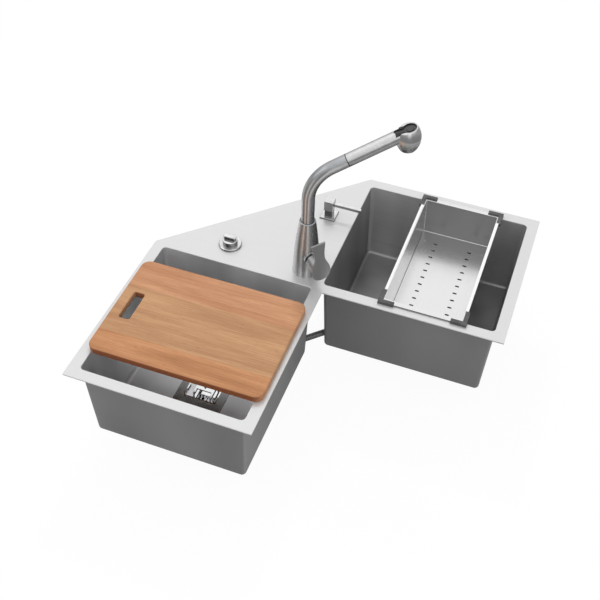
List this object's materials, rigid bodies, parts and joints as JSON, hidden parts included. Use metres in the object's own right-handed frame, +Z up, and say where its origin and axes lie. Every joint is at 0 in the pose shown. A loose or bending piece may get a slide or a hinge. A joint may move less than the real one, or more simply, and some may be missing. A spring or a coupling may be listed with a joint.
{
  "type": "corner kitchen sink",
  "caption": "Steel corner kitchen sink: two bowls at right angles on an L-shaped deck, with a pull-out spray tap, dispenser, drain knob, colander and chopping board.",
  "frame": {"origin": "on the worktop, in the middle of the seal's width at the deck's inner corner", "axes": "+Z up; the left arm runs along -Y and the right arm along +X, and the two mirror each other about the plane x = -y"},
  "size_m": [0.893, 0.893, 0.7196],
  "materials": {
    "brushed_steel": "brushed",
    "chrome": "polished",
    "brass": "machined",
    "dark_steel": "blackened",
    "rubber": "matt",
    "dark_plastic": "matt",
    "bottle_plastic": "translucent white",
    "wood_front": "oiled",
    "wood_middle": "oiled",
    "wood_back": "oiled"
  },
  "bodies": {
    "sink": {"cartridge_nut": "brass", "deck_panel": "brushed_steel", "dispenser_base": "brushed_steel", "dispenser_nut": "dark_plastic", "inlet_block": "brass", "knob_bush": "dark_plastic", "knob_flange": "chrome", "knob_nut": "dark_plastic", "left_bowl": "brushed_steel", "left_drain_gasket": "rubber", "left_drain_nut": "dark_plastic", "left_outlet": "brushed_steel", "left_strainer_body": "brushed_steel", "mixer_cartridge": "dark_plastic", "pump_tube": "dark_plastic", "right_bowl": "brushed_steel", "right_drain_gasket": "rubber", "right_drain_nut": "dark_plastic", "right_outlet": "brushed_steel", "right_strainer_body": "brushed_steel", "rim_seal": "rubber", "soap_bottle": "bottle_plastic", "swivel_bush": "dark_plastic", "tap_body": "brushed_steel", "tap_foot": "brushed_steel", "tap_nut": "brass", "tap_ring": "brushed_steel", "tap_shank": "brass", "tap_washer": "rubber", "tie_bar": "brushed_steel"},
    "spout": {"spout_tube": "brushed_steel"},
    "spray": {"spray_shell": "brushed_steel", "spray_spigot": "dark_plastic", "spray_hose": "dark_plastic", "spray_face": "rubber", "spray_insert": "dark_plastic"},
    "spray_trigger": {"spray_button": "dark_plastic"},
    "mixing_rotor": {"cartridge_rotor": "brushed_steel"},
    "lever": {"lever_stem": "brushed_steel", "lever_barrel": "brushed_steel", "lever_paddle": "brushed_steel", "lever_screw": "dark_steel"},
    "drain_control": {"drain_knob": "chrome", "knob_spindle": "brushed_steel"},
    "left_strainer": {"left_basket": "brushed_steel", "left_basket_handle": "chrome", "left_plug_seal": "rubber"},
    "right_strainer": {"right_basket": "brushed_steel", "right_basket_handle": "chrome", "right_plug_seal": "rubber"},
    "dispenser_pump": {"dispenser_head": "chrome", "dispenser_spout": "chrome", "pump_stem": "dark_plastic"},
    "colander": {"colander_tray": "brushed_steel", "colander_rails": "brushed_steel", "colander_pads": "dark_plastic"},
    "board": {"board_front_stave": "wood_front", "board_middle_stave": "wood_middle", "board_back_stave": "wood_back"}
  },
  "joints": [
    {"name": "spout_swivel", "type": "hinge", "parent": "sink", "child": "spout", "pos_m": [-0.058, 0.058, 0.14], "axis": [0, 0, 1], "range_deg": [-150, 20]},
    {"name": "spray_pull", "type": "slide", "parent": "spout", "child": "spray", "axis": [0.7902, 0.394, 0.4695], "range_m": [0, 0.06]},
    {"name": "spray_button_press", "type": "slide", "parent": "spray", "child": "spray_trigger", "axis": [0.2617, 0.1305, -0.9563], "range_m": [0, 0.0015], "stiffness_N_per_m": 900},
    {"name": "mixing_turn", "type": "hinge", "parent": "sink", "child": "mixing_rotor", "pos_m": [-0.058, 0.058, 0.0645], "axis": [-0.7071, 0.7071, 0], "range_deg": [-45, 45]},
    {"name": "lever_tilt", "type": "hinge", "parent": "mixing_rotor", "child": "lever", "pos_m": [-0.03572, 0.03572, 0.0645], "axis": [0.7018, 0.7018, 0.1219], "range_deg": [0, 18]},
    {"name": "drain_knob_turn", "type": "hinge", "parent": "sink", "child": "drain_control", "pos_m": [-0.265, 0.0695, 0.01], "axis": [0, 0, 1], "range_deg": [0, 90]},
    {"name": "left_strainer_lift", "type": "slide", "parent": "sink", "child": "left_strainer", "axis": [0, 0, 1], "range_m": [0, 0.008]},
    {"name": "right_strainer_lift", "type": "slide", "parent": "sink", "child": "right_strainer", "axis": [0, 0, 1], "range_m": [0, 0.1]},
    {"name": "dispenser_press", "type": "slide", "parent": "sink", "child": "dispenser_pump", "axis": [0, 0, -1], "range_m": [0, 0.015], "stiffness_N_per_m": 180},
    {"name": "colander_lift", "type": "slide", "parent": "sink", "child": "colander", "axis": [0, 0, 1], "range_m": [0, 0.12]},
    {"name": "board_lift", "type": "slide", "parent": "sink", "child": "board", "axis": [0, 0, 1], "range_m": [0, 0.08]}
  ],
  "couplings": [
    {"joint": "drain_knob_turn", "follows": "left_strainer_lift", "rad_per_m": 196.3}
  ]
}
